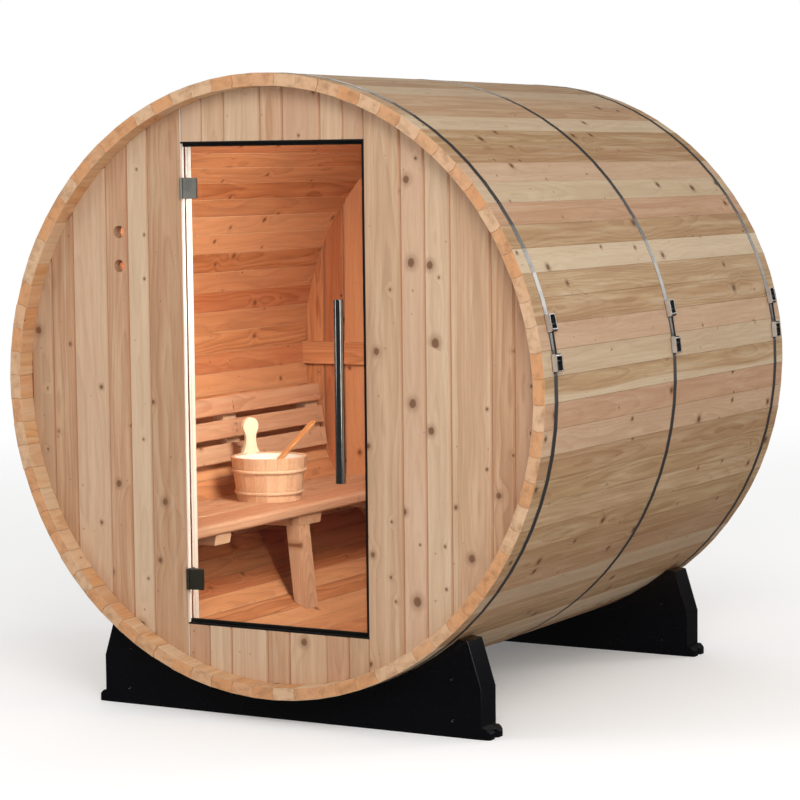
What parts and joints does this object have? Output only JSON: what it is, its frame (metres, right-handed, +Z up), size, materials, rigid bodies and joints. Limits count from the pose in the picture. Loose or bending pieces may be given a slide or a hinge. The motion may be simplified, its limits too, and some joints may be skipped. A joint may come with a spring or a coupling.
{
  "type": "barrel sauna",
  "caption": "Round wooden sauna cabin of curved-set staves held by steel bands on moulded cradles, with a hinged glass door, a bench with backrest, and a water bucket.",
  "frame": {"origin": "on the ground, below the middle of the barrel", "axes": "+Z up, the door faces -Y, +X to the right when facing the door, the barrel's axis along Y"},
  "size_m": [1.8604, 1.775, 1.9107],
  "materials": {
    "stave_wood": "planed softwood, clear oil",
    "wall_boards": "planed softwood, clear oil",
    "inner_wood": "planed softwood, bare",
    "seal_rubber": "matt",
    "door_glass": "clear toughened glass",
    "polished_steel": "polished",
    "hinge_metal": "satin dark bronze",
    "band_steel": "satin",
    "tensioner_steel": "polished",
    "cradle_plastic": "moulded, glossy",
    "bucket_wood": "fine sanded",
    "ladle_wood": "fine sanded"
  },
  "bodies": {
    "root": {"staves_01": "stave_wood", "staves_02": "stave_wood", "staves_03": "stave_wood", "staves_04": "stave_wood", "staves_05": "stave_wood", "staves_06": "stave_wood", "staves_07": "stave_wood", "staves_08": "stave_wood", "staves_09": "stave_wood", "staves_10": "stave_wood", "staves_11": "stave_wood", "staves_12": "stave_wood", "staves_13": "stave_wood", "front_wall_left": "wall_boards", "front_wall_right": "wall_boards", "front_wall_head": "wall_boards", "front_wall_sill": "wall_boards", "back_wall": "wall_boards", "door_frame_left": "inner_wood", "door_frame_right": "inner_wood", "door_frame_head": "inner_wood", "door_frame_sill": "inner_wood", "back_wall_rail": "inner_wood", "bench_boards": "inner_wood", "bench_battens": "inner_wood", "bench_leg": "inner_wood", "bench_bearers": "inner_wood", "backrest_slats": "inner_wood", "backrest_cleats": "inner_wood", "door_seal": "seal_rubber", "hinge_leaves": "hinge_metal", "band_front": "band_steel", "band_middle": "band_steel", "band_rear": "band_steel", "tensioners_right": "tensioner_steel", "tensioners_left": "tensioner_steel", "cradle_front": "cradle_plastic", "cradle_rear": "cradle_plastic", "bucket": "bucket_wood", "bucket_hoops": "bucket_wood", "ladle": "ladle_wood"},
    "door": {"door_glass": "door_glass", "door_handle": "polished_steel", "hinge_clamps": "hinge_metal"}
  },
  "joints": [
    {"name": "door_hinge", "type": "hinge", "parent": "root", "child": "door", "pos_m": [-0.3085, -0.8345, 0.9945], "axis": [0, 0, -1], "range_deg": [0, 110]}
  ]
}
